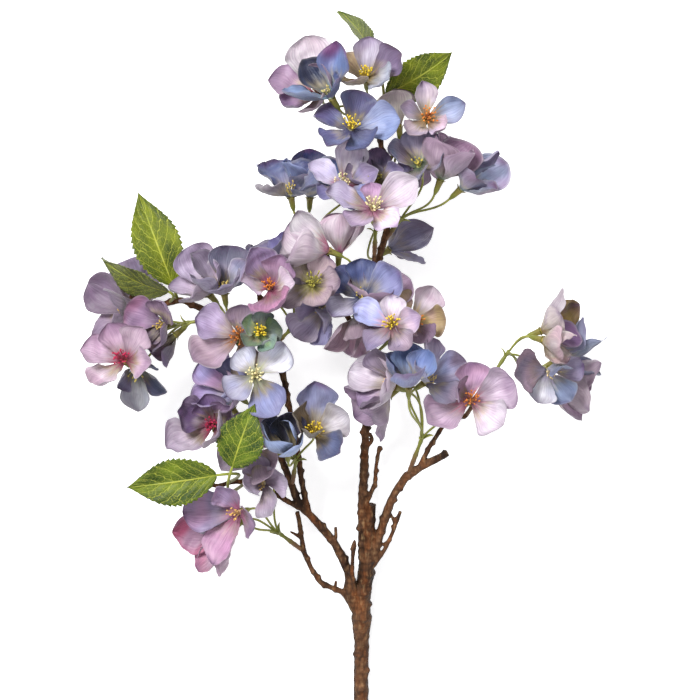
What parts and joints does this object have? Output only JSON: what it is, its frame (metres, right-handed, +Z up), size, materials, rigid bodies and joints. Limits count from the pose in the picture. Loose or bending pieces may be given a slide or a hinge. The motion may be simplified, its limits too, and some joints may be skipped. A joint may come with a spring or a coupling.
{
  "type": "apple blossom branch",
  "caption": "Cut apple blossom branch lying on its back: a forked woody stem with umbels of cupped blooms on thin green stalks and toothed leaves.",
  "frame": {"origin": "on the surface the branch lies on, under the middle of its outline", "axes": "+Y from the cut end of the stem towards the branch's tip, +Z up from the surface, towards the side that most blooms face"},
  "size_m": [0.3799, 0.5249, 0.136],
  "materials": {
    "leaf": "matte green with paler net veins",
    "stalk": "smooth green stalk, ribbed calyx tube",
    "wood": "rough brown bark",
    "petal_azure": "soft satin petal, azure",
    "petal_blue": "soft satin petal, blue",
    "petal_blush": "soft satin petal, blush",
    "petal_bud": "soft satin petal, bud",
    "petal_cream": "soft satin petal, cream",
    "petal_dusty": "soft satin petal, dusty",
    "petal_haze": "soft satin petal, haze",
    "petal_lilac": "soft satin petal, lilac",
    "petal_mauve": "soft satin petal, mauve",
    "petal_moss": "soft satin petal, moss",
    "petal_navy": "soft satin petal, navy",
    "petal_pearl": "soft satin petal, pearl",
    "petal_pink": "soft satin petal, pink",
    "petal_plum": "soft satin petal, plum",
    "petal_rose": "soft satin petal, rose",
    "petal_slate": "soft satin petal, slate",
    "petal_violet": "soft satin petal, violet"
  },
  "bodies": {
    "root": {"wood": "wood", "stalks_top": "stalk", "stalks_crown": "stalk", "stalks_upper_left": "stalk", "stalks_middle": "stalk", "stalks_upper_right": "stalk", "stalks_left_heart": "stalk", "stalks_centre": "stalk", "stalks_low_right": "stalk", "stalks_far_right": "stalk", "stalks_far_left": "stalk", "stalks_left": "stalk", "stalks_lower_left": "stalk", "stalks_fork": "stalk", "stalks_bottom_left": "stalk", "leaf_tip": "leaf", "leaf_upper_right": "leaf", "leaf_left_upright": "leaf", "leaf_left_low": "leaf", "leaf_lower_left": "leaf", "leaf_lower_upright": "leaf", "bloom_middle_pink": "petal_pink", "blooms_low_azure": "petal_azure", "bloom_left_moss": "petal_moss", "blooms_top_blue": "petal_blue", "bloom_heart_rose": "petal_rose", "blooms_centre_blush": "petal_blush", "bloom_top_slate": "petal_slate", "bloom_lower_pearl": "petal_pearl", "blooms_heart_blush": "petal_blush", "blooms_upper_blush": "petal_blush", "blooms_left_mauve": "petal_mauve", "bloom_fork_navy": "petal_navy", "blooms_centre_navy": "petal_navy", "blooms_low_blush": "petal_blush", "bloom_low_pink": "petal_pink", "bloom_left_dusty": "petal_dusty", "bloom_fork_slate": "petal_slate", "bloom_top_cream": "petal_cream", "blooms_far_left_pink": "petal_pink", "blooms_far_cream": "petal_cream", "blooms_lower_lilac": "petal_lilac", "blooms_right_mauve": "petal_mauve", "bloom_crown_pearl": "petal_pearl", "blooms_heart_mauve": "petal_mauve", "blooms_far_left_plum": "petal_plum", "bloom_bottom_rose": "petal_rose", "bloom_heart_bud": "petal_bud", "bloom_far_lilac": "petal_lilac", "blooms_upper_slate": "petal_slate", "bloom_right_haze": "petal_haze", "bloom_heart_haze": "petal_haze", "bloom_crown_bud": "petal_bud", "blooms_bottom_pearl": "petal_pearl", "bloom_far_left_lilac": "petal_lilac", "blooms_bottom_pink": "petal_pink", "bloom_crown_blush": "petal_blush", "blooms_far_mauve": "petal_mauve", "bloom_middle_violet": "petal_violet", "bloom_far_left_violet": "petal_violet"}
  },
  "joints": []
}
